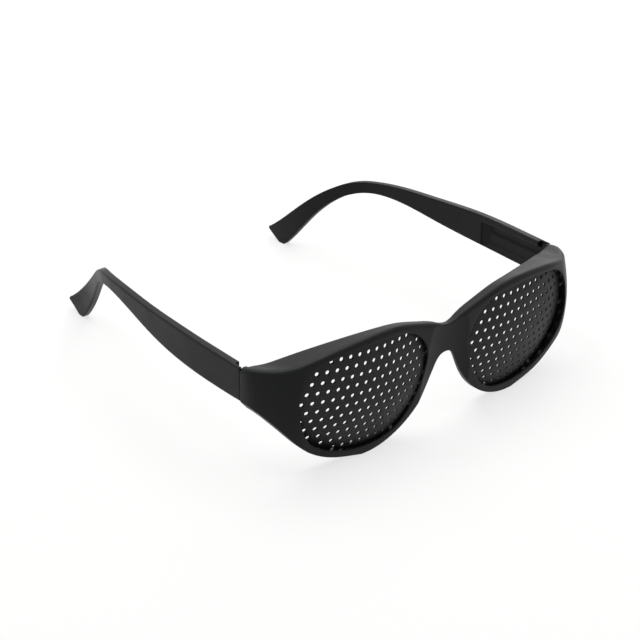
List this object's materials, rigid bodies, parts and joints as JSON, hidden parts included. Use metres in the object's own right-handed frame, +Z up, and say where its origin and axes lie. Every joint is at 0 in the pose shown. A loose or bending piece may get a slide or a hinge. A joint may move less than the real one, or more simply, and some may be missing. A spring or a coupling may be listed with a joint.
{
  "type": "pinhole glasses",
  "caption": "Wraparound glasses with perforated plates in place of lenses and two temples that fold inwards on screwed hinges.",
  "frame": {"origin": "middle of the bounding box in plan, at the floor that both rims and both temple tips stand on", "axes": "+X to the wearer's left, +Y from the brow back towards the ears, +Z up"},
  "size_m": [0.14, 0.1522, 0.0451],
  "materials": {
    "front_plastic": "satin black, moulded",
    "plate_plastic": "fine spark-eroded grain, black",
    "temple_plastic": "satin black, moulded",
    "screw_steel": "bright machined"
  },
  "bodies": {
    "front": {"front_frame": "front_plastic", "pinhole_plate_left": "plate_plastic", "pinhole_plate_right": "plate_plastic", "hinge_screw_left": "screw_steel", "hinge_screw_right": "screw_steel"},
    "left_temple": {"temple_left": "temple_plastic"},
    "right_temple": {"temple_right": "temple_plastic"}
  },
  "joints": [
    {"name": "left_temple_fold", "type": "hinge", "parent": "front", "child": "left_temple", "pos_m": [0.0664, -0.052, 0.029], "axis": [0, 0, 1], "range_deg": [0, 85]},
    {"name": "right_temple_fold", "type": "hinge", "parent": "front", "child": "right_temple", "pos_m": [-0.0664, -0.052, 0.029], "axis": [0, 0, -1], "range_deg": [0, 76]}
  ]
}
